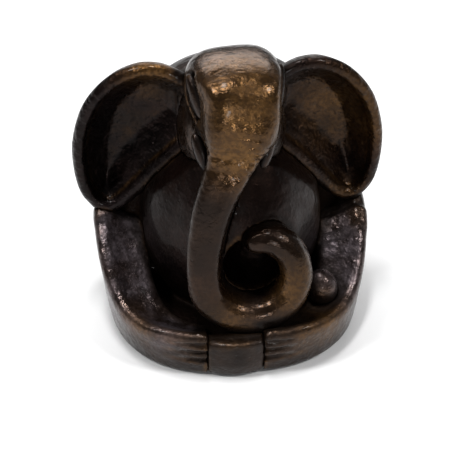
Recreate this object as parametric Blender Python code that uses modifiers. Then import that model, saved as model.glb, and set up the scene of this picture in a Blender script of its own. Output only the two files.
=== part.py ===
"""Small cast figurine of a seated elephant-headed deity.

The figure sits low and round. Two arms wrap the base and meet at a block in front, the trunk
runs down over the belly and curls up again like a 6, and two dished ears stand at the sides.
It is modelled in metres with +Z up and the face towards -Y, and it stands on z = 0. Left and
right are those of someone who faces the figure, so the left side is at -X.
"""

import math

import bmesh
import bpy
from mathutils import Vector

MM = 0.001  # sizes below are millimetres

# Base: an oval, a little squared, whose heel is a little flatter than its front
BASE_HALF_WIDTH = 37.6
BASE_HALF_DEPTH = 37.5
BASE_SQUARENESS = 2.45
HEEL_STRETCH = 0.96
GAP = 0.32  # clearance between neighbouring pieces

# Foot of the casting: a recess takes the plate and the felt, which stands a little proud
RIM_HEIGHT = 0.4
RIM_WIDTH = 4.0
FELT_THICKNESS = 1.1
PLATE_THICKNESS = 1.8
RECESS_TOP = FELT_THICKNESS + PLATE_THICKNESS + 2 * GAP
FOOT_LEAN = 1.3  # how far the wall leans in at the bottom
FOOT_RISE = 10.0  # and the height where it is upright
WALL_FLARE = 2.6  # how far it leans out at the top
FLARE_FROM = 8.0
FLARE_RISE = 24.0

# Head: a squared egg, turned a little to the right and flattened to a cheek on each side
HEAD_CENTRE = Vector((0.4, -8.8, 73.0))
HEAD_RADII = (13.4, 14.4, 13.2)
HEAD_SQUARENESS = 3.4
HEAD_TURN = math.radians(8)
HEAD_NARROWING = 0.03  # for each mm below its middle
HEAD_ACROSS = Vector((math.cos(HEAD_TURN), math.sin(HEAD_TURN), 0))
HEAD_AHEAD = Vector((math.sin(HEAD_TURN), -math.cos(HEAD_TURN), 0))
CHEEK_ANGLE = math.radians(19.6)
CHEEK_REACH = 12.2
JAW = ((0, -3.5, 61), (12.5, 11.5, 14))
NECK = ((0, 0, 60), (15, 13, 17))

# Trunk: x, y, z of the centreline, half width, half depth, and its twist in degrees
TRUNK = (
    (0.6, -13.5, 75.0, 8.6, 8.6, 0),
    (0.0, -16.5, 70.0, 9.2, 8.4, -2),
    (-1.2, -18.6, 64.5, 7.4, 7.6, -8),
    (-2.6, -19.8, 60.0, 6.1, 7.0, -13),
    (-4.6, -21.2, 55.0, 5.5, 6.6, -16),
    (-6.6, -22.6, 49.5, 5.2, 6.2, -17),
    (-8.2, -24.0, 43.0, 4.9, 5.9, -16),
    (-9.3, -25.2, 36.5, 4.7, 5.7, -14),
    (-9.6, -26.2, 30.0, 4.6, 5.6, -10),
    (-8.2, -27.2, 22.5, 4.8, 5.6, -6),
    (-1.6, -27.9, 16.6, 5.0, 5.8, 0),
    (6.6, -27.9, 16.0, 5.0, 5.8, 0),
    (13.0, -27.2, 20.4, 4.8, 5.6, 0),
    (15.5, -26.4, 28.0, 4.5, 5.4, 0),
    (13.6, -25.4, 35.0, 4.3, 5.1, 0),
    (9.0, -24.6, 38.9, 4.1, 4.9, 0),
    (4.6, -24.0, 38.9, 3.6, 4.4, 0),
)
TRUNK_CORNER = 3.0  # exponent of the trunk's section: 2 is an ellipse, more is squarer

# Eyes and tusks are leaves, each given by its half width and half thickness
EYE_HEIGHTS = (82.2, 71.8)
EYE_AHEAD = (-1.6, 5.6)  # how far its two ends lie ahead of the head's centre
EYE_SUNK = 1.2
EYE_SECTION = (2.7, 1.8)
TUSK_TOP = (11.3, -15.0, 68.0)
TUSK_BOTTOM = (8.0, -19.2, 58.0)
TUSK_SECTION = (2.3, 1.8)
TUSK_SHIFT = {-1: 0.0, 1: -1.6}

# Ear outline, right side, x and z, from the top of the root round the outside
EAR_OUTLINE = (
    (8, 73),
    (13, 76.6),
    (18.5, 78.9),
    (25, 78.6),
    (32.5, 74.4),
    (39.2, 65.8),
    (42.7, 54.5),
    (43.0, 44.5),
    (41.5, 36.5),
    (38.0, 32),
    (33.6, 31),
    (29.4, 33.6),
    (24.8, 39),
    (18.6, 46.5),
    (12.5, 53),
    (7, 58),
)
EAR_SPREAD = {-1: 1.02, 1: 1.0}  # the left ear reaches out a little more
EAR_CENTRE = (25, 57)
EAR_ROOT = (14, 0.3)  # x and y where the ear springs from the head
EAR_SWEEP = 0.14  # how much the ear runs back for each mm outward
EAR_RIM = 1.9  # radius of the rolled rim
EAR_BOWL = 6.0
EAR_WALL = 4.2
EAR_CLEAR_FRONT = -30.0  # the space in front of the ear is kept clear this far
EAR_MIDDLE = 0.12  # share of the way to the edge where the smallest ring lies
EAR_MARGIN = 0.02  # and by how much the cleared space is wider, as a share

# The ear's surface as rings of its outline: the share of the way from the middle to the edge,
# and how far the ring lies behind the edge. The front is the hollow, up to the rolled rim.
EAR_FRONT = (
    (EAR_MIDDLE, EAR_BOWL),
    (0.4, EAR_BOWL),
    (0.6, EAR_BOWL * 0.84),
    (0.76, EAR_BOWL * 0.45),
    (0.86, EAR_BOWL * 0.05),
    (0.92, -EAR_RIM * 0.8),
    (0.96, -EAR_RIM),
    (1.0, -EAR_RIM * 0.6),
)
EAR_BACK = (
    (1.02, 0.2),
    (0.99, EAR_RIM),
    (0.9, EAR_WALL * 0.9),
    (0.76, EAR_BOWL * 0.45 + EAR_WALL),
    (0.6, EAR_BOWL * 0.84 + EAR_WALL),
    (0.4, EAR_BOWL + EAR_WALL),
    (EAR_MIDDLE, EAR_BOWL + EAR_WALL),
)

# Arm along the wall: angle round the base in degrees from the front, crest height, thickness
ARM = (
    (8, 15.4, 4.6),
    (18, 15.4, 4.8),
    (28, 15.3, 6.2),
    (40, 14.9, 9.6),
    (52, 14.4, 12.0),
    (65, 17.2, 13.0),
    (78, 24.8, 13.2),
    (90, 29.6, 13.0),
    (104, 31.7, 13.0),
    (116, 32.0, 12.6),
)
ARM_SLOPE = 0.44  # fall of the upper face for each mm inward
SHOULDER = {-1: (89, 96), 1: (80, 90)}  # angles between which each shoulder stands higher
SHOULDER_STEP = 1.2

# Body: centre and radii of the forms that make it up
BELLY = ((0.5, -4.5, 30), (21.5, 21, 32))
FLANKS = ((0, -1.5, 29), (25.6, 19.5, 33))
BACK = ((0, 7.5, 31), (33, 28, 45))
BACK_SQUARENESS = 2.2
BACK_FRONT = 3.0  # the back form keeps behind this y, and the heel behind the next one
HEEL_FRONT = 14.0
HEEL_HEIGHT = 30.0
FOOT_INSET = 5.0
FOOT_HEIGHT = 7.0
CURL_CUP = ((4.6, -22.0, 30.0), (9.2, 10.0, 9.6))  # the dark hollow in the belly behind the curl
BELLY_HOLLOW = ((0, 6.5, 1.7), (19.0, 17.5, 36.0))
HOLLOW_SQUARENESS = 2.6

BALL_TOP = (23.0, -18.6, 20.8)
BALL_BOTTOM = (25.8, -18.6, 9.6)
BALL_SECTION = (4.1, 4.3)

BLOCK_X = -1.8
BLOCK_HALF_WIDTH = 7.9
BLOCK_TOP = 12.6
BLOCK_RADIUS = 20.0
BLOCK_AXIS_Y = -18.3
BLOCK_BACK_Y = -32.2
BLOCK_EDGE = 0.6
HANDS_BACK_Y = -24.0  # the hands end at the block's sides as far back as this

FINGER_HEIGHTS = (12.2, 9.2, 6.2)
FINGER_LENGTH = 8.4
FINGER_SECTION = (0.6, 0.9)

FAR = 60.0  # reach of a cutter that passes the whole figure

COLLECTION = "deity_figurine"


def clear_scene():
    for obj in list(bpy.data.objects):
        bpy.data.objects.remove(obj, do_unlink=True)


def new_collection(name):
    collection = bpy.data.collections.new(name)
    bpy.context.scene.collection.children.link(collection)
    return collection


def material(name, colour, roughness, metallic):
    made = bpy.data.materials.new(name)
    made.use_nodes = True
    shader = made.node_tree.nodes["Principled BSDF"]
    shader.inputs["Base Color"].default_value = (*colour, 1)
    shader.inputs["Roughness"].default_value = roughness
    shader.inputs["Metallic"].default_value = metallic
    return made


def bronze(name, colour=(0.09, 0.055, 0.03), roughness=0.32):
    return material(name, colour, roughness, 0.85)


def mesh_object(name, bm, collection):
    bmesh.ops.triangulate(bm, faces=[face for face in bm.faces if len(face.verts) > 4])
    bmesh.ops.recalc_face_normals(bm, faces=bm.faces)
    mesh = bpy.data.meshes.new(name)
    bm.to_mesh(mesh)
    bm.free()
    mesh.shade_smooth()
    obj = bpy.data.objects.new(name, mesh)
    collection.objects.link(obj)
    return obj


def bake(obj):
    """Replaces the object's mesh by the one its modifiers make."""
    graph = bpy.context.evaluated_depsgraph_get()
    made = bpy.data.meshes.new_from_object(obj.evaluated_get(graph))
    made.name = obj.name
    obj.modifiers.clear()
    obj.data = made
    return obj


def spline(rows, steps):
    """Points of a Catmull-Rom curve through the rows, whatever their number of columns."""
    rows = [Vector(row) for row in rows]
    rows = [2 * rows[0] - rows[1], *rows, 2 * rows[-1] - rows[-2]]
    points = []
    for a, b, c, d in zip(rows, rows[1:], rows[2:], rows[3:]):
        bend = 2 * a - 5 * b + 4 * c - d
        turn = 3 * b - a - 3 * c + d
        for step in range(steps):
            t = step / steps
            points.append(b + ((c - a) * t + bend * t**2 + turn * t**3) / 2)
    return [*points, rows[-2]]


def loft(name, rings, collection):
    """A closed body through rings of equally many points, with a face on each end."""
    bm = bmesh.new()
    rows = [[bm.verts.new(Vector(point) * MM) for point in ring] for ring in rings]
    for low, high in zip(rows, rows[1:]):
        for i in range(len(low)):
            j = (i + 1) % len(low)
            bm.faces.new((low[i], low[j], high[j], high[i]))
    bm.faces.new(rows[0][::-1])
    bm.faces.new(rows[-1])
    return mesh_object(name, bm, collection)


def ellipsoid(name, centre, radii, collection, squareness=2.0, segments=32):
    """A sphere scaled to its radii; with squareness over 2 it swells towards a rounded box."""
    bm = bmesh.new()
    bmesh.ops.create_uvsphere(bm, u_segments=segments, v_segments=segments // 2, radius=1)
    for vertex in bm.verts:
        size = sum(abs(value) ** squareness for value in vertex.co) ** (-1 / squareness)
        scaled = [value * size * radius for value, radius in zip(vertex.co, radii)]
        vertex.co = (Vector(scaled) + Vector(centre)) * MM
    return mesh_object(name, bm, collection)


def leaf(name, top, bottom, section, normal, collection, segments=14):
    """An ellipsoid between two points, with a half width and a half thickness along the normal."""
    top, bottom = Vector(top), Vector(bottom)
    along = (top - bottom).normalized()
    thick = (Vector(normal) - along * along.dot(normal)).normalized()
    wide = along.cross(thick)
    middle = (top + bottom) / 2
    bm = bmesh.new()
    bmesh.ops.create_uvsphere(bm, u_segments=segments, v_segments=segments // 2 + 1, radius=1)
    for vertex in bm.verts:
        x, y, z = vertex.co
        offset = wide * x * section[0] + thick * y * section[1] + along * z * (top - bottom).length / 2
        vertex.co = (middle + offset) * MM
    return mesh_object(name, bm, collection)


def base_point(angle, inset, z):
    """A point on the base's oval, from the front (-Y) round towards +X, moved inward by inset."""
    turn = math.radians(angle)
    across, ahead = math.sin(turn), math.cos(turn)
    size = (abs(across) ** BASE_SQUARENESS + abs(ahead) ** BASE_SQUARENESS) ** (-1 / BASE_SQUARENESS)
    stretch = 1 if ahead > 0 else HEEL_STRETCH
    x = (BASE_HALF_WIDTH - inset) * across * size
    y = -(BASE_HALF_DEPTH - inset) * stretch * ahead * size
    return Vector((x, y, z))


def wall_inset(z):
    """How far the outer wall lies inside the base's oval at this height."""
    flare = min(max((z - FLARE_FROM) / FLARE_RISE, 0), 1)
    lean = min(max(1 - z / FOOT_RISE, 0), 1)
    return FOOT_LEAN * lean**2 - WALL_FLARE * flare


def oval_tower(name, levels, collection, segments=64):
    """A closed body on the base's oval, given its inset and height at each level."""
    turns = [360 * i / segments for i in range(segments)]
    return loft(name, [[base_point(turn, inset, z) for turn in turns] for inset, z in levels], collection)


def oval_slab(name, inset, low, high, collection):
    return oval_tower(name, ((inset, low), (inset, high)), collection)


def boolean(obj, other, operation, solver="EXACT"):
    modifier = obj.modifiers.new(operation.lower(), "BOOLEAN")
    modifier.operation = operation
    modifier.solver = solver
    modifier.object = other
    return bake(obj)


def grown(obj, distance, collection):
    """A copy with its surface moved outward, to cut its neighbours with clearance."""
    copy = bpy.data.objects.new(obj.name + "_room", obj.data.copy())
    collection.objects.link(copy)
    modifier = copy.modifiers.new("grow", "DISPLACE")
    modifier.strength = distance * MM
    modifier.mid_level = 0
    return bake(copy)


def drop_offcuts(obj):
    """Keeps the largest connected part of the mesh and deletes what the cuts left loose."""
    bm = bmesh.new()
    bm.from_mesh(obj.data)
    waiting = set(bm.verts)
    islands = []
    while waiting:
        edge = [waiting.pop()]
        island = set(edge)
        while edge:
            vertex = edge.pop()
            near = {link.other_vert(vertex) for link in vertex.link_edges} - island
            island |= near
            edge.extend(near)
        waiting -= island
        islands.append(island)
    largest = max(islands, key=len)
    bmesh.ops.delete(bm, geom=[vertex for vertex in bm.verts if vertex not in largest], context="VERTS")
    bm.to_mesh(obj.data)
    bm.free()
    return obj


def carve(obj, cutters):
    """Cuts with the solver that keeps thinned-out meshes closed where EXACT loses them."""
    for cutter in cutters:
        boolean(obj, cutter, "DIFFERENCE", "MANIFOLD")
    return drop_offcuts(obj)


def blend(obj, others, voxel, triangles):
    """Unites overlapping forms, softens the joins and thins the mesh out."""
    for other in others:
        boolean(obj, other, "UNION")
    remesh = obj.modifiers.new("remesh", "REMESH")
    remesh.mode = "VOXEL"
    remesh.voxel_size = voxel * MM
    soften = obj.modifiers.new("soften", "SMOOTH")
    soften.iterations = 4
    bake(obj)
    thin = obj.modifiers.new("thin", "DECIMATE")
    thin.ratio = min(1.0, triangles / (2 * len(obj.data.polygons)))
    return bake(obj)


def trunk_rings(corners=20, steps=4):
    """Sections across the trunk. Width lies in the plane of the curl and depth towards -Y."""
    rows = spline(TRUNK, steps)
    places = [Vector(row[:3]) for row in rows]
    rings = []
    for i, (row, place) in enumerate(zip(rows, places)):
        along = (places[min(i + 1, len(rows) - 1)] - places[max(i - 1, 0)]).normalized()
        depth = Vector((0, -1, 0))
        depth = (depth - depth.dot(along) * along).normalized()
        width = along.cross(depth)
        twist = math.radians(row[5])
        width, depth = (
            width * math.cos(twist) + depth * math.sin(twist),
            depth * math.cos(twist) - width * math.sin(twist),
        )
        ring = []
        for k in range(corners):
            turn = 2 * math.pi * k / corners
            u, v = math.cos(turn), math.sin(turn)
            size = (abs(u) ** TRUNK_CORNER + abs(v) ** TRUNK_CORNER) ** (-1 / TRUNK_CORNER)
            ring.append(place + width * u * size * row[3] + depth * v * size * row[4])
        rings.append(ring)
    # The tip closes in a blunt round end.
    tip, before = places[-1], places[-2]
    ahead = (tip - before).normalized() * TRUNK[-1][3]
    rings.append([tip + ahead * 0.6 + (point - tip) * 0.75 for point in rings[-1]])
    rings.append([tip + ahead + (point - tip - ahead * 0.6) * 0.35 for point in rings[-1]])
    return rings


def head_form(collection):
    """The skull: it narrows downward, and a cheek plane cuts each side, further in towards the front."""
    head = ellipsoid("head_and_trunk", (0, 0, 0), HEAD_RADII, collection, HEAD_SQUARENESS)
    for vertex in head.data.vertices:
        x, y, z = vertex.co / MM
        x /= 1 + HEAD_NARROWING * max(1 - z, 0)
        reach = (CHEEK_REACH + y * math.sin(CHEEK_ANGLE)) / math.cos(CHEEK_ANGLE)
        x = max(-reach, min(reach, x))
        vertex.co = (HEAD_CENTRE + HEAD_ACROSS * x - HEAD_AHEAD * y + Vector((0, 0, z))) * MM
    return head


def make_head(parts, guides):
    head = head_form(parts)
    trunk = loft("trunk_form", trunk_rings(), guides)
    jaw = ellipsoid("jaw_form", *JAW, guides)
    neck = ellipsoid("neck_form", *NECK, guides)
    blend(head, [jaw, neck, trunk], 1.2, 2900)
    head.data.materials.append(bronze("head_bronze", (0.13, 0.08, 0.035)))
    return head


def ear_rings(side, profile, count=36):
    outline = spline([*EAR_OUTLINE, EAR_OUTLINE[0]], 4)[:-1]
    outline = [outline[int(i * len(outline) / count)] for i in range(count)]
    rings = []
    for share, depth in profile:
        ring = []
        for x, z in outline:
            x = (EAR_CENTRE[0] + (x - EAR_CENTRE[0]) * share) * EAR_SPREAD[side]
            z = EAR_CENTRE[1] + (z - EAR_CENTRE[1]) * share
            y = EAR_ROOT[1] + EAR_SWEEP * (x - EAR_ROOT[0]) + depth
            ring.append((side * x, y, z))
        rings.append(ring)
    return rings


def make_ear(name, side, parts):
    ear = loft(name, ear_rings(side, (*EAR_FRONT, *EAR_BACK)), parts)
    ear.data.materials.append(bronze(name + "_bronze", (0.06, 0.04, 0.025), 0.4))
    return ear


def ear_room(side, guides):
    """A plug of the ear's outline that clears its back and the space in front of it."""
    edge = EAR_BACK[0][0] + EAR_MARGIN
    behind = [(share + EAR_MARGIN, depth + GAP) for share, depth in EAR_BACK]
    profile = ((EAR_MIDDLE, EAR_CLEAR_FRONT), (edge, EAR_CLEAR_FRONT), *behind)
    return loft("ear_room", ear_rings(side, profile), guides)


def arm_rings(side, steps=3):
    """Sections of the arm, which stands on the base's edge and falls off inward at the top."""
    rings = []
    for angle, crest, thick in spline(ARM, steps):
        shoulder_start, shoulder_end = SHOULDER[side]
        if shoulder_start <= angle <= shoulder_end:
            crest += SHOULDER_STEP
        # Each point is how far inside the wall it lies, and its height.
        section = (
            (0.6, RIM_HEIGHT),
            (0, 1.2),
            (0, 4),
            (0, 8),
            (0, crest - 2.6),
            (0.5, crest - 0.9),
            (1.5, crest - 0.1),
            (2.6, crest - 0.5),
            (thick * 0.6, crest - ARM_SLOPE * thick * 0.7),
            (thick, crest - ARM_SLOPE * thick),
            (thick, 1.2),
            (thick, RIM_HEIGHT),
        )
        ring = [base_point(angle, inset + wall_inset(z), z) for inset, z in section]
        rings.append([(side * x, y, z) for x, y, z in ring])
    return rings


def finger_cutters(side, collection):
    """Thin leaves that press the gaps between the fingers into the wall beside the block."""
    edge = BLOCK_HALF_WIDTH + side * BLOCK_X
    cutters = []
    for z in FINGER_HEIGHTS:
        ends = []
        for reach in (edge - FINGER_LENGTH, edge + FINGER_LENGTH):
            point = base_point(math.degrees(math.asin(reach / BASE_HALF_WIDTH)), wall_inset(z), z)
            ends.append((side * point.x, point.y, point.z))
        cutters.append(leaf("finger_gap", *ends, FINGER_SECTION[::-1], (0, 0, 1), collection))
    return cutters


def make_arm(name, side, parts):
    arm = loft(name, arm_rings(side), parts)
    arm.data.materials.append(bronze(name + "_bronze", (0.09, 0.065, 0.06), 0.36))
    return arm


def box(name, low, high, collection):
    bm = bmesh.new()
    bmesh.ops.create_cube(bm, size=1)
    for vertex in bm.verts:
        vertex.co = Vector([a + (b - a) * (c + 0.5) for a, b, c in zip(low, high, vertex.co)]) * MM
    return mesh_object(name, bm, collection)


def make_body(parts, guides):
    """Belly, back and foot in one hollow casting, open underneath."""
    body = ellipsoid("body", *BELLY, parts)
    flanks = ellipsoid("flank_form", *FLANKS, guides)
    back = ellipsoid("back_form", *BACK, guides, BACK_SQUARENESS)
    boolean(back, box("back_front", (-FAR, -FAR, -FAR), (FAR, BACK_FRONT, 2 * FAR), guides), "DIFFERENCE")
    foot = oval_slab("foot_form", FOOT_INSET, -9, FOOT_HEIGHT, guides)
    heights = (-6, 0, 4, 8, (8 + HEEL_HEIGHT) / 2, HEEL_HEIGHT)
    heel = oval_tower("heel_form", [(wall_inset(z), z) for z in heights], guides)
    boolean(heel, box("heel_front", (-FAR, -FAR, -FAR), (FAR, HEEL_FRONT, FAR), guides), "DIFFERENCE")
    blend(body, [flanks, back, foot, heel], 1.5, 2400)
    boolean(body, box("floor", (-FAR, -FAR, -FAR), (FAR, FAR, RIM_HEIGHT), guides), "DIFFERENCE")
    return body


def cheek_normal(side):
    return side * math.cos(CHEEK_ANGLE) * HEAD_ACROSS + math.sin(CHEEK_ANGLE) * HEAD_AHEAD


def on_cheek(side, ahead, height):
    """A point just under the cheek, given how far ahead of the head's centre it lies."""
    across = (CHEEK_REACH - ahead * math.sin(CHEEK_ANGLE)) / math.cos(CHEEK_ANGLE)
    place = HEAD_CENTRE + side * across * HEAD_ACROSS + ahead * HEAD_AHEAD - EYE_SUNK * cheek_normal(side)
    return Vector((place.x, place.y, height))


def make_eye(name, side, parts):
    """A long closed eye: a leaf lying along the cheek."""
    ends = [on_cheek(side, ahead, height) for ahead, height in zip(EYE_AHEAD, EYE_HEIGHTS)]
    eye = leaf(name, *ends, EYE_SECTION, cheek_normal(side), parts)
    eye.data.materials.append(bronze(name + "_bronze", (0.05, 0.035, 0.02), 0.25))
    return eye


def make_tusk(name, side, parts):
    """A short tusk that hangs down the side of the trunk's root."""
    ends = [(side * x + TUSK_SHIFT[side], y, z) for x, y, z in (TUSK_TOP, TUSK_BOTTOM)]
    tusk = leaf(name, *ends, TUSK_SECTION, cheek_normal(side), parts)
    tusk.data.materials.append(bronze(name + "_bronze", (0.07, 0.05, 0.04), 0.22))
    return tusk


def make_ball(parts):
    ball = leaf("sweet_ball", BALL_TOP, BALL_BOTTOM, BALL_SECTION, (0, -1, 0), parts, 20)
    ball.data.materials.append(bronze("ball_bronze", (0.08, 0.055, 0.05), 0.25))
    return ball


def make_block(parts):
    """The rounded block between the hands: an upright half drum with its flat at the back."""
    half_turn = math.degrees(math.asin(BLOCK_HALF_WIDTH / BLOCK_RADIUS))
    front = []
    for i in range(13):
        turn = math.radians(-half_turn + 2 * half_turn * i / 12)
        front.append((BLOCK_X + BLOCK_RADIUS * math.sin(turn), BLOCK_AXIS_Y - BLOCK_RADIUS * math.cos(turn)))
    outline = [*front, (front[-1][0], BLOCK_BACK_Y), (front[0][0], BLOCK_BACK_Y)]
    block = loft("front_block", [[(x, y, z) for x, y in outline] for z in (RIM_HEIGHT, BLOCK_TOP)], parts)
    bevel = block.modifiers.new("edges", "BEVEL")
    bevel.width = BLOCK_EDGE * MM
    bevel.segments = 2
    bake(block)
    block.data.materials.append(bronze("block_bronze", (0.07, 0.05, 0.045), 0.3))
    return block


def make_plate(parts):
    low = FELT_THICKNESS + GAP
    plate = oval_slab("base_plate", RIM_WIDTH + GAP, low, low + PLATE_THICKNESS, parts)
    plate.data.materials.append(bronze("plate_bronze", (0.05, 0.035, 0.025), 0.5))
    return plate


def make_felt(parts):
    felt = oval_slab("felt_pad", RIM_WIDTH + GAP, 0, FELT_THICKNESS, parts)
    felt.data.materials.append(material("black_felt", (0.02, 0.02, 0.022), 0.95, 0))
    return felt


def main():
    clear_scene()
    parts = new_collection(COLLECTION)
    guides = new_collection("cutters")

    head = make_head(parts, guides)
    ears = [make_ear("left_ear", -1, parts), make_ear("right_ear", 1, parts)]
    arms = [make_arm("left_arm", -1, parts), make_arm("right_arm", 1, parts)]
    block = make_block(parts)
    ball = make_ball(parts)
    body = make_body(parts, guides)
    eyes = [make_eye("left_eye", -1, parts), make_eye("right_eye", 1, parts)]
    tusks = [make_tusk("left_tusk", -1, parts), make_tusk("right_tusk", 1, parts)]

    # Each piece gives way to those that lie over it.
    head_room, block_room, ball_room = (grown(piece, GAP, guides) for piece in (head, block, ball))
    ear_rooms = [ear_room(side, guides) for side in (-1, 1)]
    arm_rooms = [grown(arm, GAP, guides) for arm in arms]
    for ear in ears:
        carve(ear, [head_room])
    reach = BLOCK_HALF_WIDTH + GAP
    low, high = (BLOCK_X - reach, -FAR, -FAR), (BLOCK_X + reach, HANDS_BACK_Y, FAR)
    between_hands = box("hands_gap", low, high, guides)
    for arm, room in zip(arms, ear_rooms):
        carve(arm, [between_hands, head_room, room, ball_room])
    carve(body, [*ear_rooms, head_room])
    carve(body, [*arm_rooms, block_room, ball_room])

    recess = oval_slab("recess", RIM_WIDTH, -5, RECESS_TOP, guides)
    hollow = ellipsoid("hollow", *BELLY_HOLLOW, guides, HOLLOW_SQUARENESS)
    carve(body, [recess, hollow, ellipsoid("curl_cup", *CURL_CUP, guides)])
    carve(block, [head_room, recess])
    for side, arm in zip((-1, 1), arms):
        carve(arm, [*finger_cutters(side, guides), recess])
    carve(head, [grown(piece, GAP, guides) for piece in eyes + tusks])

    body.data.materials.append(bronze("body_bronze"))
    make_plate(parts)
    make_felt(parts)
    for obj in guides.objects:
        obj.hide_render = True
        obj.display_type = "WIRE"


main()
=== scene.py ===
"""Looks of the small cast figurine of a seated elephant-headed deity.

The skin is sculpted as one distance field in millimetres, so that every form flows into the next as
on a casting. The field is then shared out among the pieces of the CAD model and each is meshed.
Left and right are those of someone who faces the figure, so the left side is at -X.
"""

import math

import bpy
import numpy as np
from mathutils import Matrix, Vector


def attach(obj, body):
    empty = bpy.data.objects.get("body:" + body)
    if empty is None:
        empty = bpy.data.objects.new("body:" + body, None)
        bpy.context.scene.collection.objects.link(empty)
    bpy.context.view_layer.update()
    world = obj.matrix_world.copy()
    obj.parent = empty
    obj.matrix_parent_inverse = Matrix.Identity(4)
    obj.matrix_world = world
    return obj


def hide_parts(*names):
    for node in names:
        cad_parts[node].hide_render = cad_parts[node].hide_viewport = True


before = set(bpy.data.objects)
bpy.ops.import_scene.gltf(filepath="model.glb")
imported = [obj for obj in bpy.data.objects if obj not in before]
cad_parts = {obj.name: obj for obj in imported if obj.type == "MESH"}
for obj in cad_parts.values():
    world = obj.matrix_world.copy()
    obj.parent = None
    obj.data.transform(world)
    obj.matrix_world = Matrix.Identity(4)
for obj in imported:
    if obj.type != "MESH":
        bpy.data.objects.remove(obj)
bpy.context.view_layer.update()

MM = 0.001
VOXEL = 0.62

# Base oval, rim and recess of the casting, as the CAD model has them
BASE_HALF_WIDTH = 37.6
BASE_HALF_DEPTH = 37.5
BASE_SQUARENESS = 2.45
HEEL_STRETCH = 0.96
RIM_HEIGHT = 0.4
RIM_WIDTH = 4.0
RECESS_TOP = 3.54
FOOT_LEAN = 1.3
FOOT_RISE = 10.0
WALL_FLARE = 2.6
FLARE_FROM = 8.0
FLARE_RISE = 24.0

# The grid that the fields are worked out on
LOW = np.array((-46.0, -40.0, -1.5))
HIGH = np.array((46.0, 39.5, 91.0))
COUNT = np.ceil((HIGH - LOW) / VOXEL).astype(int) + 1
FAR = 30.0  # the distance given to places that a field doesn't reach


def grid_axis(axis):
    places = LOW[axis] + VOXEL * np.arange(COUNT[axis])
    return places.astype(np.float32).reshape([-1 if k == axis else 1 for k in range(3)])


X, Y, Z = (grid_axis(axis) for axis in range(3))


# ---------------------------------------------------------------- distance fields
# The width given to smooth_min and smooth_max is that of the rounded join, in millimetres.


def smooth_min(a, b, width):
    step = np.maximum(width - np.abs(a - b), 0) / width
    return np.minimum(a, b) - step * step * (width / 4)


def smooth_max(a, b, width):
    return -smooth_min(-a, -b, width)


def turned(centre, roll=0.0, yaw=0.0):
    """Grid coordinates in a frame at the centre, turned in degrees about Y or about Z."""
    x, y, z = X - centre[0], Y - centre[1], Z - centre[2]
    if roll:
        s, c = math.sin(math.radians(roll)), math.cos(math.radians(roll))
        x, z = x * c - z * s, z * c + x * s
    if yaw:
        s, c = math.sin(math.radians(yaw)), math.cos(math.radians(yaw))
        x, y = x * c + y * s, y * c - x * s
    return x, y, z


def ellipsoid(centre, radii, power=2.0, roll=0.0):
    """Distance to an ellipsoid; a power over 2 swells it towards a rounded box."""
    rates = [np.abs(v) / r for v, r in zip(turned(centre, roll), radii)]
    total = sum(rate**power for rate in rates)
    size = total ** (1 / power)
    slope = sum((rate ** (power - 1) / radius) ** 2 for rate, radius in zip(rates, radii))
    slope = np.sqrt(slope) * np.maximum(size, 1e-6) ** (1 - power)
    return (size * (size - 1) / np.maximum(slope * size, 1e-4)).astype(np.float32)


def spline(points, steps, closed=False):
    """Points of a Catmull-Rom curve through the given rows."""
    rows = np.array(points, float)
    if closed:
        rows = np.vstack([rows[-1], rows, rows[0], rows[1]])
    else:
        rows = np.vstack([2 * rows[0] - rows[1], rows, 2 * rows[-1] - rows[-2]])
    made = []
    for a, b, c, d in zip(rows, rows[1:], rows[2:], rows[3:]):
        bend = 2 * a - 5 * b + 4 * c - d
        turn = 3 * b - a - 3 * c + d
        for t in np.arange(steps) / steps:
            made.append(0.5 * (2 * b + (c - a) * t + bend * t**2 + turn * t**3))
    return np.array(made if closed else [*made, rows[-2]])


def curve_value(at, points):
    """A smooth curve through (place, value) points, read at the given places."""
    fine = spline(points, 8)
    return np.interp(at, fine[:, 0], fine[:, 1]).astype(np.float32)


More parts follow.
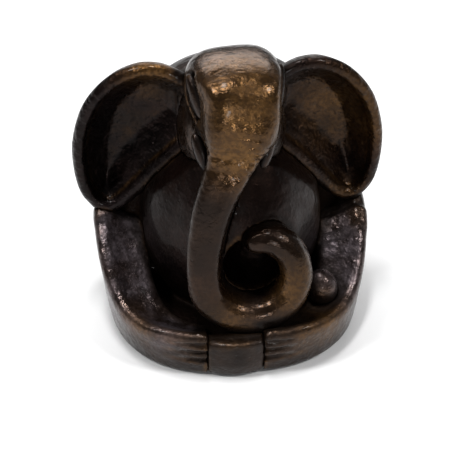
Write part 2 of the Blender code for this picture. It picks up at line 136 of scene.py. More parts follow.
def sweep(rows, steps=6, margin=12.0):
    """Distance to a body along a curve, worked out as far as the margin from it.

    A row holds x, y, z, half width, half depth, corner radius and twist in degrees.
    """
    fine = spline(rows, steps)
    place = fine[:, :3]
    along = np.gradient(place, axis=0)
    along /= np.linalg.norm(along, axis=1)[:, None]
    depth = np.array((0.0, -1.0, 0.0)) - along * -along[:, 1:2]
    depth /= np.linalg.norm(depth, axis=1)[:, None]
    width = np.cross(along, depth)
    s, c = np.sin(np.radians(fine[:, 6:7])), np.cos(np.radians(fine[:, 6:7]))
    width, depth = width * c + depth * s, depth * c - width * s

    first = np.clip(((place.min(0) - margin - LOW) / VOXEL).astype(int), 0, COUNT)
    last = np.clip(((place.max(0) + margin - LOW) / VOXEL).astype(int) + 2, 0, COUNT)
    x, y, z = X[first[0]:last[0]], Y[:, first[1]:last[1]], Z[:, :, first[2]:last[2]]
    nearest = np.full(last - first, np.inf, np.float32)
    at = np.zeros(last - first, np.float32)
    for i, (start, end) in enumerate(zip(place, place[1:])):
        run = end - start
        dx, dy, dz = x - start[0], y - start[1], z - start[2]
        t = np.clip((dx * run[0] + dy * run[1] + dz * run[2]) / (run @ run), 0, 1)
        away = (dx - t * run[0]) ** 2 + (dy - t * run[1]) ** 2 + (dz - t * run[2]) ** 2
        away = np.sqrt(away) - (fine[i, 3] + (fine[i + 1, 3] - fine[i, 3]) * t)
        better = away < nearest
        nearest = np.where(better, away, nearest)
        at = np.where(better, i + t, at)
    whole = np.minimum(at.astype(int), len(place) - 2)
    part = at - whole

    def read(values):
        values = values.astype(np.float32)
        return values[whole] + (values[whole + 1] - values[whole]) * part

    off = [axis - read(place[:, k]) for k, axis in enumerate((x, y, z))]
    across = sum(off[k] * read(width[:, k]) for k in range(3))
    deep = sum(off[k] * read(depth[:, k]) for k in range(3))
    past_end = np.maximum(sum(v * v for v in off) - across**2 - deep**2, 0)
    half_width, half_depth, corner = (read(fine[:, k]) for k in (3, 4, 5))
    a = np.abs(across) - (half_width - corner)
    b = np.abs(deep) - (half_depth - corner)
    outside = np.sqrt(np.maximum(a, 0) ** 2 + np.maximum(b, 0) ** 2 + past_end)
    field = np.full(COUNT, FAR, np.float32)
    block = tuple(slice(start, end) for start, end in zip(first, last))
    field[block] = outside + np.minimum(np.maximum(a, b), 0) - corner
    return field


def outline_distance(outline, u, v):
    """Signed distance in a plane to a closed outline, negative inside."""
    nearest = np.full(np.broadcast(u, v).shape, np.inf)
    inside = np.zeros(nearest.shape, bool)
    for a, b in zip(outline, np.roll(outline, -1, 0)):
        run = b - a
        t = np.clip(((u - a[0]) * run[0] + (v - a[1]) * run[1]) / (run @ run), 0, 1)
        away = (u - a[0] - t * run[0]) ** 2 + (v - a[1] - t * run[1]) ** 2
        nearest = np.minimum(nearest, away)
        if a[1] != b[1]:
            inside ^= ((a[1] > v) != (b[1] > v)) & (u < run[0] * (v - a[1]) / run[1] + a[0])
    return np.where(inside, -1, 1) * np.sqrt(nearest)


NOISE_GAIN = 2.4  # brings the smoothed bumps back to about -1 to 1


def noise(seed, cell):
    """Smooth random bumps from about -1 to 1 whose size is the cell, in millimetres."""
    random = np.random.default_rng(seed)
    weights = []
    for axis in range(3):
        place = VOXEL * np.arange(COUNT[axis]) / cell
        node, t = place.astype(int), place % 1
        weight = np.zeros((COUNT[axis], int(place[-1]) + 5), np.float32)
        cubic = ((1 - t) ** 3, 3 * t**3 - 6 * t**2 + 4, -3 * t**3 + 3 * t**2 + 3 * t + 1, t**3)
        for k, share in enumerate(cubic):
            weight[np.arange(COUNT[axis]), node + k] = share / 6
        weights.append(weight)
    grid = random.uniform(-1, 1, [weight.shape[1] for weight in weights]).astype(np.float32)
    for weight in weights:
        grid = np.tensordot(grid, weight, (0, 1))
    return grid * NOISE_GAIN


# ---------------------------------------------------------------- the figure's forms

def base_oval(inset=0.0):
    """Distance in plan to the base's outline, an oval that is a little squared."""
    power = BASE_SQUARENESS
    radii = BASE_HALF_WIDTH - inset, BASE_HALF_DEPTH - inset
    rates = [np.abs(X) / radii[0], np.where(Y > 0, Y / HEEL_STRETCH, -Y) / radii[1]]
    size = np.maximum(sum(rate**power for rate in rates) ** (1 / power), 1e-3)
    slope = np.sqrt(sum((rate ** (power - 1) / radius) ** 2 for rate, radius in zip(rates, radii)))
    return (size - 1) / np.maximum(slope * size ** (1 - power), 1e-3)


def wall_distance():
    """Distance to the outer wall, which leans in at the foot and flares above it."""
    lean = FOOT_LEAN * np.clip(1 - Z / FOOT_RISE, 0, 1) ** 2
    return base_oval() + lean - WALL_FLARE * np.clip((Z - FLARE_FROM) / FLARE_RISE, 0, 1)


# Trunk: x, y, z of its middle line, half width, half depth, corner radius and twist in degrees
TRUNK = (
    (0.6, -13.5, 75.0, 8.6, 8.6, 5.0, 0),
    (0.0, -16.5, 70.0, 9.2, 8.4, 4.2, -2),
    (-1.2, -18.6, 64.5, 7.4, 7.6, 3.6, -8),
    (-2.6, -19.8, 60.0, 6.1, 7.0, 3.2, -13),
    (-4.6, -21.2, 55.0, 5.5, 6.6, 3.0, -16),
    (-6.6, -22.6, 49.5, 5.2, 6.2, 2.8, -17),
    (-8.2, -24.0, 43.0, 4.9, 5.9, 2.7, -16),
    (-9.3, -25.2, 36.5, 4.7, 5.7, 2.7, -14),
    (-9.6, -26.2, 30.0, 4.6, 5.6, 2.8, -10),
    (-8.2, -27.2, 22.5, 4.8, 5.6, 3.2, -6),
    (-1.6, -27.9, 16.6, 5.0, 5.8, 3.8, 0),
    (6.6, -27.9, 16.0, 5.0, 5.8, 4.4, 0),
    (13.0, -27.2, 20.4, 4.8, 5.6, 4.6, 0),
    (15.5, -26.4, 28.0, 4.5, 5.4, 4.4, 0),
    (13.6, -25.4, 35.0, 4.3, 5.1, 4.2, 0),
    (9.0, -24.6, 38.9, 4.1, 4.9, 4.0, 0),
    (4.6, -24.0, 38.9, 3.6, 4.4, 3.5, 0),
)

# Head: a squared egg, turned a little to the right and flattened to a cheek on each side
HEAD_CENTRE = np.array((0.4, -8.8, 73.0))
HEAD_RADII = (13.4, 14.4, 13.2)
HEAD_SQUARENESS = (3.4, 2.5, 3.2)  # across, ahead and up
HEAD_ROUNDING = 3
HEAD_SCALE = 13.5  # millimetres for each unit of the head's relative size
HEAD_TURN = 8.0
HEAD_NARROWING = 0.03  # for each mm below its middle
HEAD_ACROSS = np.array((math.cos(math.radians(HEAD_TURN)), math.sin(math.radians(HEAD_TURN)), 0))
HEAD_AHEAD = np.array((math.sin(math.radians(HEAD_TURN)), -math.cos(math.radians(HEAD_TURN)), 0))
CHEEK_ANGLE = math.radians(19.6)
CHEEK_REACH = 12.2
JAW = ((0, -3.5, 61), (12.5, 11.5, 14))
NECK = ((0, 0, 60), (15, 13, 17))


def cheek_normal(side):
    return side * math.cos(CHEEK_ANGLE) * HEAD_ACROSS + math.sin(CHEEK_ANGLE) * HEAD_AHEAD


def lens(top, bottom, width, thickness, normal):
    """A leaf of the given half width and thickness between two points, flat to the normal."""
    top, bottom = np.array(top, float), np.array(bottom, float)
    half = (top - bottom) / 2
    length = np.linalg.norm(half)
    along = half / length
    normal = normal - along * (normal @ along)
    normal /= np.linalg.norm(normal)
    across = np.cross(along, normal)
    middle = (top + bottom) / 2
    rates = []
    radii = length, thickness, width
    for axis, radius in zip((along, normal, across), radii):
        offset = (X - middle[0]) * axis[0] + (Y - middle[1]) * axis[1] + (Z - middle[2]) * axis[2]
        rates.append(offset / radius)
    size = np.sqrt(sum(rate * rate for rate in rates))
    slope = np.sqrt(sum((rate / radius) ** 2 for rate, radius in zip(rates, radii)))
    return (size * (size - 1) / np.maximum(slope, 1e-4)).astype(np.float32)


def head_form():
    """Skull, jaw and neck, with the trunk growing out of the forehead."""
    x, y, z = turned(HEAD_CENTRE, yaw=HEAD_TURN)
    narrowing = 1 + HEAD_NARROWING * np.maximum(1.0 - z, 0)
    rates = [np.abs(v) / r for v, r in zip((x * narrowing, y, z), HEAD_RADII)]
    size = sum(rate**power for rate, power in zip(rates, HEAD_SQUARENESS)) ** (1 / HEAD_ROUNDING)
    skull = ((size - 1) * HEAD_SCALE).astype(np.float32)
    for side in (-1, 1):
        cheek = side * x * math.cos(CHEEK_ANGLE) - y * math.sin(CHEEK_ANGLE) - CHEEK_REACH
        skull = smooth_max(skull, cheek, 1.2)
    head = smooth_min(skull, sweep(TRUNK), 3.0)
    return smooth_min(head, smooth_min(ellipsoid(*JAW), ellipsoid(*NECK), 3.0), 3.0)


# Ear outline, right side, x and z, from the top of the root round the outside
EAR_OUTLINE = (
    (8, 73), (13, 76.6), (18.5, 78.9), (25, 78.6), (32.5, 74.4), (39.2, 65.8), (42.7, 54.5), (43.0, 44.5),
    (41.5, 36.5), (38.0, 32), (33.6, 31), (29.4, 33.6), (24.8, 39), (18.6, 46.5), (12.5, 53), (7, 58),
)
EAR_SPREAD = {-1: 1.02, 1: 1.0}  # the left ear reaches out a little more
EAR_ROOT = (14, 0.3)  # x and y where the ear springs from the head
EAR_SWEEP = 0.14  # how much the ear runs back for each mm outward
EAR_RIM = 1.9  # radius of the rolled rim
EAR_RIM_INSET = 1.4
EAR_BOWL = 6.0  # depth of the hollow
EAR_BOWL_INSET = 1.5
EAR_BOWL_RUN = 9.0  # from the edge of the hollow to its floor
EAR_HALF_WALL = 2.2
EAR_HAMMER_SEED = 31
EAR_HAMMER_CELL = 2.6
EAR_HAMMER_DEPTH = 0.22
STEEPNESS_MARGIN = 0.85  # makes up for the bowl's slope, which would overstate the distance


def ear_form(side):
    """A dish with a rolled rim, hammered inside, and the space before it that the body keeps clear."""
    outline = spline(EAR_OUTLINE, 6, closed=True)
    edge = outline_distance(outline, side * X[:, :, 0] / EAR_SPREAD[side], Z[0])
    edge = edge.astype(np.float32)[:, None, :]
    ahead = EAR_ROOT[1] + EAR_SWEEP * (side * X - EAR_ROOT[0]) - Y
    inward = np.clip((-edge - EAR_BOWL_INSET) / EAR_BOWL_RUN, 0, 1)
    bowl = EAR_BOWL * inward * inward * (3 - 2 * inward)
    middle = ahead + bowl + EAR_HALF_WALL
    hammered = EAR_HAMMER_DEPTH * noise(EAR_HAMMER_SEED, EAR_HAMMER_CELL) * inward
    shell = (np.abs(middle) - EAR_HALF_WALL + hammered) * STEEPNESS_MARGIN
    shell = smooth_max(shell, edge + 0.7, 1.6)
    rim = np.sqrt((edge + EAR_RIM_INSET) ** 2 + ahead**2) - EAR_RIM
    room = np.maximum(edge + 0.5, -middle)
    return smooth_min(shell, rim, 1.2), room


# Arms: crest height, and thickness inward from the wall, each at places along Y
ARM_CREST = (
    (-44, 15.4), (-36, 15.4), (-31, 14.8), (-26, 14.4), (-20, 15.8), (-14, 19.8), (-8, 24.8), (-2, 28.8),
    (4, 31.0), (12, 32), (44, 32),
)
ARM_THICKNESS = (
    (-44, 4.6), (-36, 5.4), (-31, 9.8), (-26, 12.0), (-20, 13.0), (-12, 13.2), (0, 13.0), (44, 13.0),
)
ARM_EDGE = 1.5  # how far inside the wall the crest runs
ARM_SLOPE = 0.4  # fall of the upper face for each mm inward
ARM_HOLLOW = 0.8  # and how deep that face is hollowed, where the arm is thick enough
ARM_HOLLOW_FROM = 3.2
ARM_HOLLOW_RANGE = 8
ARM_BACK_Y = 15.0
ARM_BUMP_SEED = 12
ARM_BUMP_CELL = 2.2
ARM_BUMP_HEIGHT = 0.12
SHOULDER = {-1: (-0.5, 4.0), 1: (-6.0, -0.4)}  # from where to where along Y each shoulder is raised
SHOULDER_STEP = 1.3
SHOULDER_RAMP = 1.2
FINGER_HEIGHTS = (12.2, 9.2, 6.2)
FINGER_LENGTH = 8.4
FINGER_DEPTH = 0.95
FINGER_TAPER = 0.7  # share of its depth that a groove loses on the way to its end
FINGER_FLATTENING = 1.5  # how many times deeper than high a groove is


def arms_form():
    """Both arms as one strap on the base's edge, a little hollow on top, with the finger grooves."""
    inward = -base_oval()
    wall = wall_distance()
    crest = curve_value(Y, ARM_CREST)
    thickness = curve_value(Y, ARM_THICKNESS)
    across = np.clip((inward - ARM_EDGE) / np.maximum(thickness - ARM_EDGE, 1), 0, 1)
    thick = np.clip(thickness / ARM_HOLLOW_RANGE - ARM_HOLLOW_FROM / ARM_HOLLOW_RANGE, 0, 1)
    hollow = ARM_HOLLOW * np.sin(np.pi * across) * thick
    fall = ARM_SLOPE * np.clip(inward - ARM_EDGE, 0, 20) + hollow
    shoulder = 0
    for side, (front, back) in SHOULDER.items():
        rise = np.clip((Y - front) / SHOULDER_RAMP + 0.5, 0, 1)
        raised = rise * np.clip((back - Y) / SHOULDER_RAMP + 0.5, 0, 1)
        shoulder = shoulder + SHOULDER_STEP * raised * (side * X > 0)
    bumps = ARM_BUMP_HEIGHT * noise(ARM_BUMP_SEED, ARM_BUMP_CELL)
    top = (Z - crest + fall - shoulder + bumps) * 0.9
    strap = smooth_max(smooth_max(wall, inward - thickness, 2.0), top, 3.2)
    strap = smooth_max(strap, BLOCK_HALF_WIDTH - np.abs(X - BLOCK_X), 0.4)
    reach = (np.abs(X - BLOCK_X) - BLOCK_HALF_WIDTH) / FINGER_LENGTH
    depth = FINGER_DEPTH * (1 - FINGER_TAPER * np.clip(reach, 0, 1))
    for height in FINGER_HEIGHTS:
        groove = np.sqrt((Z - height) ** 2 + (wall / FINGER_FLATTENING) ** 2) - depth
        strap = smooth_max(strap, -np.maximum(groove, (reach - 1) * 3), 0.3)
    return smooth_max(strap, Y - ARM_BACK_Y, 3.0)


# Body: centre and radii of the forms that make it up
BELLY = ((0.5, -4.5, 30), (21.5, 21.0, 32))
FLANKS = ((0, -1.5, 29), (25.6, 19.5, 33))
BACK = ((0, 7.5, 31), (33, 28, 45))
BACK_SQUARENESS = 2.2
BACK_FRONT = 3.0  # the back form keeps behind this y, and the heel behind the next one
HEEL_FRONT = 14.0
HEEL_HEIGHT = 30
HEEL_INSET = 0.3
FOOT_INSET = 5.0
FOOT_HEIGHT = 7.0
CURL_CUP = ((4.6, -22.0, 30.0), (9.2, 10.0, 9.6))  # the dark hollow in the belly behind the curl


def body_form():
    """Belly, flanks and back on a foot, with the heel of the base behind them."""
    back = smooth_max(ellipsoid(*BACK, BACK_SQUARENESS), BACK_FRONT - Y, 6.0)
    foot = smooth_max(base_oval(FOOT_INSET), Z - FOOT_HEIGHT, 2.0)
    heel = smooth_max(wall_distance() + HEEL_INSET, Z - HEEL_HEIGHT, 3.0)
    heel = smooth_max(heel, HEEL_FRONT - Y, 2.0)
    body = smooth_min(smooth_min(ellipsoid(*BELLY), ellipsoid(*FLANKS), 1.2), foot, 2.0)
    body = smooth_min(body, back, 4.0)
    body = smooth_min(body, heel, 3.0)
    return smooth_max(body, -ellipsoid(*CURL_CUP), 1.5)


# Block between the hands: the front of an upright drum
BLOCK_X = -1.8
BLOCK_HALF_WIDTH = 7.9
BLOCK_TOP = 12.6
BLOCK_RADIUS = 20.0
BLOCK_AXIS_Y = -18.3
BLOCK_BACK_Y = -32.2
BLOCK_LEAN_RISE = 6  # the block leans in at the foot up to this height

# Eyes and tusks are leaves, each given by its half width and half thickness
EYE_HEIGHTS = (82.2, 71.8)
EYE_AHEAD = (-1.6, 5.6)  # how far its two ends lie ahead of the head's centre
EYE_SUNK = 1.2
EYE_SECTION = (2.7, 1.8)
EYE_ROOM = 0.9  # how much wider its groove in the head is
TUSK_TOP = (11.3, -15.0, 68.0)
TUSK_BOTTOM = (8.0, -19.2, 58.0)
TUSK_SECTION = (2.3, 1.8)
TUSK_SHIFT = {-1: 0.0, 1: -1.6}  # along X, for each side
TUSK_ROOM = 0.8

BALL = ((24.4, -18.8, 15.4), (4.5, 4.5, 5.8))
BALL_ROLL = -14


def block_form():
    """The rounded block between the hands."""
    drum = np.sqrt((X - BLOCK_X) ** 2 + (Y - BLOCK_AXIS_Y) ** 2) - BLOCK_RADIUS
    drum = drum + FOOT_LEAN * np.clip(1 - Z / BLOCK_LEAN_RISE, 0, 1) ** 2
    sides = smooth_max(np.abs(X - BLOCK_X) - BLOCK_HALF_WIDTH, drum, 1.2)
    return smooth_max(smooth_max(sides, Z - BLOCK_TOP, 1.2), Y - BLOCK_BACK_Y, 1.0)


def on_cheek(side, ahead, height):
    """A point just under the cheek, given how far ahead of the head's centre it lies."""
    across = (CHEEK_REACH - ahead * math.sin(CHEEK_ANGLE)) / math.cos(CHEEK_ANGLE)
    place = HEAD_CENTRE + side * across * HEAD_ACROSS + ahead * HEAD_AHEAD
    place = place - EYE_SUNK * cheek_normal(side)
    return place[0], place[1], height


def eye_form(side, swell=0.0):
    """A long closed eye that lies along the cheek, or the room for it when swollen."""
    top = on_cheek(side, EYE_AHEAD[0], EYE_HEIGHTS[0] + swell)
    bottom = on_cheek(side, EYE_AHEAD[1], EYE_HEIGHTS[1] - swell)
    width, thickness = EYE_SECTION
    return lens(top, bottom, width + swell, thickness + 0.3 * swell, cheek_normal(side))


def tusk_form(side, swell=0.0):
    """A short tusk down the side of the trunk's root, or the room for it when swollen."""
    top, bottom = ((side * x + TUSK_SHIFT[side], y, z) for x, y, z in (TUSK_TOP, TUSK_BOTTOM))
    width, thickness = TUSK_SECTION
    return lens(top, bottom, width + swell, thickness + 0.5 * swell, cheek_normal(side))


def make_fields():
    """The raw form of each piece, and the one blended skin of the casting."""
    head, body, arms, block = head_form(), body_form(), arms_form(), block_form()
    ball = ellipsoid(*BALL, roll=BALL_ROLL)
    marks = {}
    for side, name in ((-1, "left"), (1, "right")):
        for kind, form, room in (("eye", eye_form, EYE_ROOM), ("tusk", tusk_form, TUSK_ROOM)):
            marks[f"{name}_{kind}"] = form(side)
            head = smooth_max(head, -form(side, room), 0.6)
    ears = {}
    for side, name in ((-1, "left_ear"), (1, "right_ear")):
        ears[name], room = ear_form(side)
        body = smooth_max(body, -room, 0.5)

    skin = smooth_min(body, arms, 1.4)
    for ear in ears.values():
        skin = smooth_min(skin, ear, 1.8)
    skin = smooth_min(skin, head, 1.4)
    for mark in marks.values():
        skin = smooth_min(skin, mark, 0.4)
    skin = smooth_min(smooth_min(skin, ball, 0.5), block, 1.0)
    skin = smooth_max(skin, RIM_HEIGHT - Z, 1.0)
    recess = smooth_max(base_oval(RIM_WIDTH), Z - RECESS_TOP, 0.5)

    ranked = {
        **marks,
        "sweet_ball": ball,
        "front_block": block,
        "head_and_trunk": head,
        **ears,
        "left_arm": smooth_max(arms, X - BLOCK_X, 0.1),
        "right_arm": smooth_max(arms, BLOCK_X - X, 0.1),
        "body": body,
    }
    forms = {}
    for name, form in ranked.items():
        for other in forms.values():
            form = np.maximum(form, -other)
        forms[name] = form
    return forms, smooth_max(skin, -recess, 0.5)


# ---------------------------------------------------------------- meshing

SEAM = 0.04  # half the clearance left between neighbouring pieces
SMOOTHING = 2
SLOTS = {
    "body": "body_bronze",
    "head_and_trunk": "head_bronze",
    "left_ear": "ear_bronze",
    "right_ear": "ear_bronze",
    "left_eye": "recess_bronze",
    "right_eye": "recess_bronze",
    "left_tusk": "recess_bronze",
    "right_tusk": "recess_bronze",
    "left_arm": "arm_bronze",
    "right_arm": "arm_bronze",
    "front_block": "arm_bronze",
    "sweet_ball": "arm_bronze",
}

# Soft spots (x, y, z, radius) where the bronze is made golden, and where a grey sheen, purple-grey on the
# arms, is painted as reflected light
WARM_SPOTS = (
    (2, -20, 78, 13), (0, -22, 68, 9), (15, -29, 27, 8), (-3, -30, 15, 7), (34, 4, 62, 13), (33, -4, 33, 8),
    (24, -30, 14, 8), (-20, 2, 76, 8), (-30, -26, 14, 6),
)
PAINTED_SHEEN_SPOTS = (
    (30, -12, 26, 10), (33, -20, 20, 8), (-29, -18, 19, 10), (-33, -6, 27, 9), (-20, -28, 14, 7),
    (3, -27, 20, 6), (-36, -14, 12, 7),
)

NEAR = 2.0  # a place is sheltered if the skin is still close by this far out, and further out
FURTHER = 6.0
SHELTER_GAIN = 1.6
RIDGE_DEPTH = 1.5  # how deep under the skin a sharp edge shows as thin metal
RIDGE_START = 1.35
RIDGE_RANGE = 1.2


def surface_nets(field):
    """Points and quads of the field's zero surface, one point for each cell that it crosses."""
    inside = field < 0
    cells = [n - 1 for n in field.shape]
    count = np.zeros(cells, np.int8)
    corners = [(i, j, k) for i in (0, 1) for j in (0, 1) for k in (0, 1)]
    for i, j, k in corners:
        count += inside[i:cells[0] + i, j:cells[1] + j, k:cells[2] + k]
    i, j, k = np.nonzero((count > 0) & (count < 8))
    index = np.full(cells, -1, np.int64)
    index[i, j, k] = np.arange(len(i))

    total = np.zeros((len(i), 3))
    crossings = np.zeros(len(i))
    for corner in corners:
        for axis in range(3):
            if corner[axis]:
                continue
            a = field[i + corner[0], j + corner[1], k + corner[2]]
            end = [corner[n] + (n == axis) for n in range(3)]
            b = field[i + end[0], j + end[1], k + end[2]]
            cross = (a < 0) != (b < 0)
            t = np.where(cross, a / np.where(cross, a - b, 1), 0)
            for n in range(3):
                total[:, n] += np.where(cross, corner[n] + (t if n == axis else 0), 0)
            crossings += cross
    points = (np.stack([i, j, k], 1) + total / crossings[:, None]) * VOXEL + LOW

    quads = []
    for axis in range(3):
        low, high = [slice(None)] * 3, [slice(None)] * 3
        low[axis], high[axis] = slice(0, -1), slice(1, None)
        edges = np.argwhere(inside[tuple(low)] != inside[tuple(high)])
        u, v = (axis + 1) % 3, (axis + 2) % 3
        edges = edges[(edges[:, u] > 0) & (edges[:, v] > 0)]
        ring = []
        for du, dv in ((0, 0), (-1, 0), (-1, -1), (0, -1)):
            cell = edges.copy()
            cell[:, u] += du
            cell[:, v] += dv
            ring.append(index[tuple(cell.T)])
        ring = np.stack(ring, 1)
        leaves = inside[tuple(edges.T)]
        quads.append(np.where(leaves[:, None], ring, ring[:, ::-1]))
    return points, np.vstack(quads)


def sample(field, points):
    """The field's value at points in millimetres, between its grid nodes."""
    last = np.array(field.shape) - 1.001  # just short of the last node, so that a next one exists
    place = np.clip((points - LOW) / VOXEL, 0, last)
    node = place.astype(int)
    t = place - node
    total = np.zeros(len(points))
    for i in (0, 1):
        for j in (0, 1):
            for k in (0, 1):
                shares = [t[:, n] if step else 1 - t[:, n] for n, step in enumerate((i, j, k))]
                corner = field[node[:, 0] + i, node[:, 1] + j, node[:, 2] + k]
                total += np.prod(shares, axis=0) * corner
    return total


def slope(field, points, step=0.6):
    """The field's unit gradient at the points."""
    rise = [sample(field, points + step * axis) - sample(field, points - step * axis) for axis in np.eye(3)]
    normal = np.stack(rise, 1)
    return normal / np.maximum(np.linalg.norm(normal, axis=1), 1e-6)[:, None]


def spots(points, places):
    """How far each point lies within any of the soft round spots (x, y, z, radius)."""
    best = np.zeros(len(points))
    for *centre, radius in places:
        best = np.maximum(best, np.exp(-((points - centre) ** 2).sum(1) / radius**2))
    return best


def note_shade_tone_and_sheen(mesh, points, skin):
    """Notes on the mesh how sheltered (for painted shade), worn and golden each point of the skin is, and
    where sheen is painted.
    """
    normal = slope(skin, points)
    near = sample(skin, points + NEAR * normal) / NEAR
    further = sample(skin, points + FURTHER * normal) / FURTHER
    # the materials darken sheltered places as painted shade, and roughen them
    shelter = 1 - np.clip(0.5 * near + 0.5 * further, 0, 1)
    ridge = np.clip((sample(skin, points - RIDGE_DEPTH * normal) + RIDGE_START) / RIDGE_RANGE, 0, 1)
    for name, values in (
        ("shelter", np.clip(shelter * SHELTER_GAIN, 0, 1)),
        ("ridge", ridge),
        ("warmth", spots(points, WARM_SPOTS)),
        ("painted_sheen", spots(points, PAINTED_SHEEN_SPOTS)),
    ):
        attribute = mesh.attributes.new(name, "FLOAT", "POINT")
        attribute.data.foreach_set("value", values.astype(np.float32))


def piece_object(name, field, skin, material):
    """Meshes the field, and lets it stand in for the CAD piece of that name."""
    points, quads = surface_nets(field)
    mesh = bpy.data.meshes.new(name + "_skin")
    mesh.from_pydata(points * MM, [], quads)
    mesh.update()
    mesh.shade_smooth()
    mesh.materials.append(material)
    note_shade_tone_and_sheen(mesh, points, skin)
    piece = bpy.data.objects.new(name + "_skin", mesh)
    bpy.context.scene.collection.objects.link(piece)
    smooth = piece.modifiers.new("smooth", "SMOOTH")
    smooth.iterations = SMOOTHING
    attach(piece, "root")
    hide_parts(name)


def share_out(forms, skin, materials):
    """Cuts the skin into its pieces halfway between neighbouring forms, so seams lie in the creases."""
    stack = np.stack(list(forms.values()))
    order = np.sort(stack, axis=0)[:2]
    for own, name in zip(stack, forms):
        other = np.where(own <= order[0], order[1], order[0])
        field = np.maximum(skin, (own - other) / 2 + SEAM)
        piece_object(name, field, skin, materials[SLOTS[name]])


# ---------------------------------------------------------------- materials

class Graph:
    """A short way to write a material's nodes."""

    def __init__(self, name):
        self.material = bpy.data.materials.new(name)
        self.material.use_nodes = True
        self.tree = self.material.node_tree
        self.shader = self.tree.nodes["Principled BSDF"]

    def put(self, target, value):
        if isinstance(value, bpy.types.NodeSocket):
            self.tree.links.new(value, target)
        else:
            target.default_value = value

    def node(self, kind, inputs, output=0, **settings):
        made = self.tree.nodes.new("ShaderNode" + kind)
        for key, value in settings.items():
            setattr(made, key, value)
        for key, value in inputs.items():
            self.put(made.inputs[key], value)
        return made.outputs[output]

    def place(self):
        return self.node("TexCoord", {}, output="Object")

    def noise(self, scale, detail=3.0, roughness=0.55, at=None):
        inputs = {"Vector": at or self.place(), "Scale": scale, "Detail": detail, "Roughness": roughness}
        return self.node("TexNoise", inputs)

    def ramp(self, value, low, high, start=0.0, end=1.0):
        inputs = {"Value": value, "From Min": low, "From Max": high, "To Min": start, "To Max": end}
        return self.node("MapRange", inputs, interpolation_type="SMOOTHSTEP")

    def calc(self, operation, a, b):
        return self.node("Math", {0: a, 1: b}, operation=operation)

    def mix_colour(self, share, a, b):
        made = self.tree.nodes.new("ShaderNodeMix")
        made.data_type = "RGBA"
        self.put(made.inputs[0], share)
        self.put(made.inputs[6], a)
        self.put(made.inputs[7], b)
        return made.outputs[2]

    def attribute(self, name):
        return self.node("Attribute", {}, output="Fac", attribute_name=name)


GOLD = (0.155, 0.075, 0.020)
# colour of a painted reflection of the pale floor and backdrop
PAINTED_REFLECTION_GREY = (0.070, 0.056, 0.062)
# purple-grey of the sheen painted on the arms as reflected light
SHEEN = (0.170, 0.140, 0.155)
# colour of the painted shade in hollows and creases
SHADE_BLACK = (0.006, 0.003, 0.002)

# Each bronze: its colour, that of its painted sheen, how strongly its golden spots and its painted sheen
# show, its roughness, the height of its dents, the specular level of what isn't metal in it, and how dark
# the painted shade in its hollows is
BRONZES = {
    "body_bronze": ((0.015, 0.007, 0.005), PAINTED_REFLECTION_GREY, 0.6, 0.3, 0.38, 1.6, 0.12, 0.92),
    "head_bronze": ((0.036, 0.018, 0.010), PAINTED_REFLECTION_GREY, 1.0, 0.3, 0.22, 1.1, 0.4, 0.92),
    "ear_bronze": ((0.014, 0.007, 0.006), PAINTED_REFLECTION_GREY, 0.8, 0.3, 0.32, 3.0, 0.2, 0.92),
    "recess_bronze": ((0.018, 0.010, 0.008), PAINTED_REFLECTION_GREY, 0.3, 0.5, 0.20, 0.6, 0.4, 0.92),
    "arm_bronze": ((0.032, 0.017, 0.011), SHEEN, 0.7, 1.0, 0.26, 1.5, 0.6, 0.7),
}


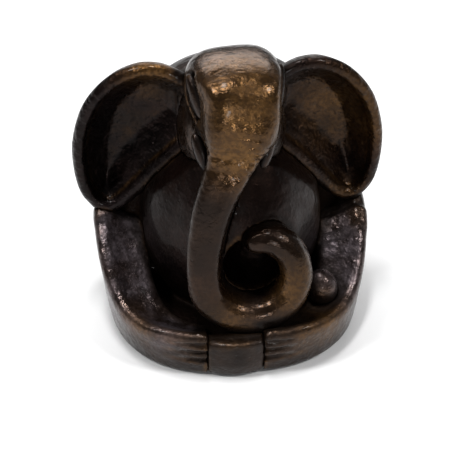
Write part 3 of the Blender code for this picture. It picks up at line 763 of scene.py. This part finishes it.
def bronze(name, base, painted_sheen_colour, warm_share, painted_sheen_share, roughness, hammered, shine, painted_shade):
    """Cast bronze under a dark patina, golden in spots, pitted and scratched, with painted shade in its
    hollows and a painted sheen in other spots.
    """
    g = Graph(name)
    blotch = g.noise(55, 4)
    patch = g.noise(170, 4)
    grain = g.noise(900, 3)
    fine = g.noise(2600, 2)
    warmth = g.calc("MULTIPLY", g.attribute("warmth"), g.ramp(blotch, 0.3, 0.7, 0.35, 1.15))
    warmth = g.calc("MULTIPLY", warmth, warm_share)
    # painted sheen: reflected light painted in spots, grey, and purple-grey on the arms
    painted_sheen = g.calc("MULTIPLY", g.attribute("painted_sheen"), g.ramp(patch, 0.35, 0.65, 0.3, 1.1))
    painted_sheen = g.calc("MULTIPLY", painted_sheen, painted_sheen_share)
    ridge = g.calc("MULTIPLY", g.attribute("ridge"), g.ramp(patch, 0.35, 0.7, 0.25, 1.0))
    shelter = g.attribute("shelter")

    dark = tuple(0.35 * v for v in base)
    colour = g.mix_colour(g.ramp(blotch, 0.35, 0.65), (*dark, 1), (*base, 1))
    colour = g.mix_colour(warmth, colour, (*GOLD, 1))
    colour = g.mix_colour(painted_sheen, colour, (*painted_sheen_colour, 1))
    colour = g.mix_colour(g.calc("MULTIPLY", ridge, 0.75), colour, (*(1.25 * v for v in GOLD), 1))
    speckle = g.ramp(grain, 0.38, 0.62, 0.0, 0.45)
    colour = g.mix_colour(speckle, colour, (*dark, 1))
    # painted shade: sheltered hollows and creases are darkened towards black
    colour = g.mix_colour(g.ramp(shelter, 0.15, 0.85, 0.0, painted_shade), colour, (*SHADE_BLACK, 1))
    g.put(g.shader.inputs["Base Color"], colour)

    g.put(g.shader.inputs["Metallic"], g.ramp(ridge, 0.0, 1.0, 0.78, 0.95))
    patchy = g.ramp(patch, 0.3, 0.7, roughness - 0.08, roughness + 0.14)
    matt = g.ramp(shelter, 0.2, 0.9, 0.0, 0.25)
    g.put(g.shader.inputs["Roughness"], g.calc("ADD", patchy, matt))
    g.shader.inputs["Specular IOR Level"].default_value = shine
    g.shader.inputs["Coat Weight"].default_value = 0.1
    g.shader.inputs["Coat Roughness"].default_value = 0.12

    pits = g.node("TexVoronoi", {"Vector": g.place(), "Scale": 420.0}, output="Distance")
    pits = g.calc("MULTIPLY", g.ramp(pits, 0.0, 0.22, -1.0, 0.0), g.ramp(patch, 0.5, 0.66))
    turn, stretch = (0.4, 0.2, 0.7), (60, 1400, 300)
    streaks = g.node("Mapping", {"Vector": g.place(), "Rotation": turn, "Scale": stretch})
    scratches = g.ramp(g.noise(1.0, 2, at=streaks), 0.62, 0.72, 0.0, -0.6)
    height = g.calc("MULTIPLY", g.noise(300, 2), 1.6 * hammered)
    for value, share in ((grain, 0.55), (fine, 0.22), (pits, 0.9), (scratches, 0.3)):
        height = g.calc("ADD", height, g.calc("MULTIPLY", value, share))
    bump = g.node("Bump", {"Height": height, "Strength": 0.6, "Distance": 0.00035})
    g.put(g.shader.inputs["Normal"], bump)
    return g.material


def felt():
    g = Graph("felt")
    fibre = g.noise(1800, 4)
    patch = g.noise(90, 3)
    colour = g.mix_colour(g.ramp(fibre, 0.3, 0.7), (0.012, 0.011, 0.011, 1), (0.035, 0.032, 0.03, 1))
    colour = g.mix_colour(g.ramp(patch, 0.45, 0.75, 0.0, 0.4), colour, (0.06, 0.055, 0.05, 1))
    g.put(g.shader.inputs["Base Color"], colour)
    g.put(g.shader.inputs["Roughness"], g.ramp(fibre, 0.2, 0.8, 0.85, 1.0))
    g.shader.inputs["Sheen Weight"].default_value = 0.4
    g.put(g.shader.inputs["Normal"], g.node("Bump", {"Height": fibre, "Strength": 0.8, "Distance": 0.0003}))
    return g.material


def plate_metal():
    g = Graph("plate_metal")
    patch = g.noise(120, 4)
    grain = g.noise(1500, 3)
    colour = g.mix_colour(g.ramp(patch, 0.35, 0.7), (0.05, 0.045, 0.04, 1), (0.16, 0.13, 0.09, 1))
    g.put(g.shader.inputs["Base Color"], colour)
    g.shader.inputs["Metallic"].default_value = 0.8
    g.put(g.shader.inputs["Roughness"], g.ramp(patch, 0.3, 0.7, 0.38, 0.6))
    g.put(g.shader.inputs["Normal"], g.node("Bump", {"Height": grain, "Strength": 0.4, "Distance": 0.0002}))
    return g.material


def make_materials():
    return {name: bronze(name, *look) for name, look in BRONZES.items()}


# ---------------------------------------------------------------- stage

# Lamps: place, width and height in metres, and power in watts
LAMPS = {
    "key": ((-0.07, 0.02, 0.86), (0.20, 0.09), 3.2),
    "left_lamp": ((-0.42, -0.10, 0.60), (0.09, 0.12), 2.0),
    "right_lamp": ((0.44, -0.20, 0.58), (0.09, 0.12), 2.0),
    "back_panel": ((0, 0.70, 0.55), (0.90, 0.30), 4.5),
    "front_lamp": ((0.03, -0.62, 0.16), (0.05, 0.05), 0.5),
}
LAMP_AIM = Vector((0, 0, 0.04))
HIDDEN_LAMP = "front_lamp"  # it stands low enough to come into a view from behind
FLOOR_REACH = 3.0
FLOOR_COLOUR = (0.9, 0.9, 0.9)
FLOOR_ROUGHNESS = 0.8
SKY_COLOUR = (0.75, 0.76, 0.78)
SKY_STRENGTH = 0.22

CAMERA_ELEVATION = math.radians(38)
CAMERA_AZIMUTH = math.radians(-5)
CAMERA_DISTANCE = 0.370
CAMERA_AIM = Vector((-0.0015, 0, 0.0247))
CAMERA_LENS = 100.9
CAMERA_SENSOR = 36


def make_floor():
    r = FLOOR_REACH
    mesh = bpy.data.meshes.new("floor")
    mesh.from_pydata([(-r, -r, 0), (r, -r, 0), (r, r, 0), (-r, r, 0)], [], [(0, 1, 2, 3)])
    floor = bpy.data.objects.new("floor", mesh)
    bpy.context.scene.collection.objects.link(floor)
    pale = bpy.data.materials.new("pale_floor")
    pale.use_nodes = True
    shader = pale.node_tree.nodes["Principled BSDF"]
    shader.inputs["Base Color"].default_value = (*FLOOR_COLOUR, 1)
    shader.inputs["Roughness"].default_value = FLOOR_ROUGHNESS
    mesh.materials.append(pale)


def make_lamp(name, place, size, power):
    light = bpy.data.lights.new(name, "AREA")
    light.shape = "RECTANGLE"
    light.size, light.size_y = size
    light.energy = power
    lamp = bpy.data.objects.new(name, light)
    bpy.context.scene.collection.objects.link(lamp)
    lamp.location = place
    lamp.rotation_euler = (LAMP_AIM - Vector(place)).to_track_quat("-Z", "Y").to_euler()
    if name == HIDDEN_LAMP:
        lamp.visible_camera = False


def make_sky():
    world = bpy.data.worlds.new("studio")
    bpy.context.scene.world = world
    world.use_nodes = True
    background = world.node_tree.nodes["Background"]
    background.inputs["Color"].default_value = (*SKY_COLOUR, 1)
    background.inputs["Strength"].default_value = SKY_STRENGTH
    bpy.context.scene.view_settings.view_transform = "Standard"


def make_camera():
    """Looks down at the figure from a little left of the front."""
    level = math.cos(CAMERA_ELEVATION)
    back = Vector(
        (math.sin(CAMERA_AZIMUTH) * level, -math.cos(CAMERA_AZIMUTH) * level, math.sin(CAMERA_ELEVATION))
    )
    data = bpy.data.cameras.new("camera")
    data.sensor_width = CAMERA_SENSOR
    data.lens = CAMERA_LENS
    camera = bpy.data.objects.new("camera", data)
    bpy.context.scene.collection.objects.link(camera)
    camera.location = CAMERA_AIM + back * CAMERA_DISTANCE
    camera.rotation_euler = (-back).to_track_quat("-Z", "Y").to_euler()
    bpy.context.scene.camera = camera


def main():
    forms, skin = make_fields()
    share_out(forms, skin, make_materials())
    for name, material in (("base_plate", plate_metal()), ("felt_pad", felt())):
        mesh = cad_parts[name].data
        mesh.materials.clear()
        mesh.materials.append(material)
    make_floor()
    for name, lamp in LAMPS.items():
        make_lamp(name, *lamp)
    make_sky()
    make_camera()


main()
